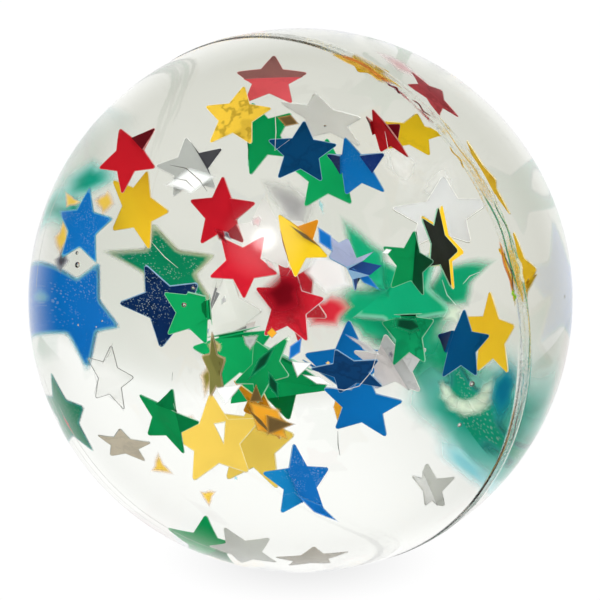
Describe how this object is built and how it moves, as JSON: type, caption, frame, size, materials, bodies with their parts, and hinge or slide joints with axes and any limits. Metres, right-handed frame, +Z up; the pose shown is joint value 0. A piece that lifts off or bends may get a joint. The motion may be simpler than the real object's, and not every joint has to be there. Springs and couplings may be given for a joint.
{
  "type": "clear bouncy ball",
  "caption": "Solid clear rubber ball with coloured foil stars cast inside, two bonded halves and a ground seam belt.",
  "frame": {"origin": "centre of the ball", "axes": "+Z up, +Y square to the seam plane from the front half to the back half, seam in the XZ plane"},
  "size_m": [0.0452, 0.045, 0.0452],
  "materials": {
    "clear_rubber": "water-clear polished rubber, with fine scratches and a frosted seam belt",
    "red_foil": "red metallised film",
    "blue_foil": "blue metallised film",
    "green_foil": "green metallised film",
    "gold_foil": "gold metallised film",
    "silver_foil": "silver metallised film"
  },
  "bodies": {
    "root": {"front_half": "clear_rubber", "back_half": "clear_rubber", "red_star_1": "red_foil", "red_star_2": "red_foil", "red_star_3": "red_foil", "red_star_4": "red_foil", "red_star_5": "red_foil", "red_star_6": "red_foil", "red_star_7": "red_foil", "red_star_8": "red_foil", "blue_star_1": "blue_foil", "blue_star_2": "blue_foil", "blue_star_3": "blue_foil", "blue_star_4": "blue_foil", "blue_star_5": "blue_foil", "blue_star_6": "blue_foil", "blue_star_7": "blue_foil", "blue_star_8": "blue_foil", "blue_star_9": "blue_foil", "blue_star_10": "blue_foil", "blue_star_11": "blue_foil", "green_star_1": "green_foil", "green_star_2": "green_foil", "green_star_3": "green_foil", "green_star_4": "green_foil", "green_star_5": "green_foil", "green_star_6": "green_foil", "green_star_7": "green_foil", "green_star_8": "green_foil", "green_star_9": "green_foil", "green_star_10": "green_foil", "green_star_11": "green_foil", "green_star_12": "green_foil", "green_star_13": "green_foil", "green_star_14": "green_foil", "green_star_15": "green_foil", "gold_star_1": "gold_foil", "gold_star_2": "gold_foil", "gold_star_3": "gold_foil", "gold_star_4": "gold_foil", "gold_star_5": "gold_foil", "gold_star_6": "gold_foil", "gold_star_7": "gold_foil", "gold_star_8": "gold_foil", "gold_star_9": "gold_foil", "gold_star_10": "gold_foil", "gold_star_11": "gold_foil", "gold_star_12": "gold_foil", "gold_star_13": "gold_foil", "silver_star_1": "silver_foil", "silver_star_2": "silver_foil", "silver_star_3": "silver_foil", "silver_star_4": "silver_foil", "silver_star_5": "silver_foil", "silver_star_6": "silver_foil", "silver_star_7": "silver_foil", "silver_star_8": "silver_foil", "silver_star_9": "silver_foil", "silver_star_10": "silver_foil", "silver_star_11": "silver_foil"}
  },
  "joints": []
}
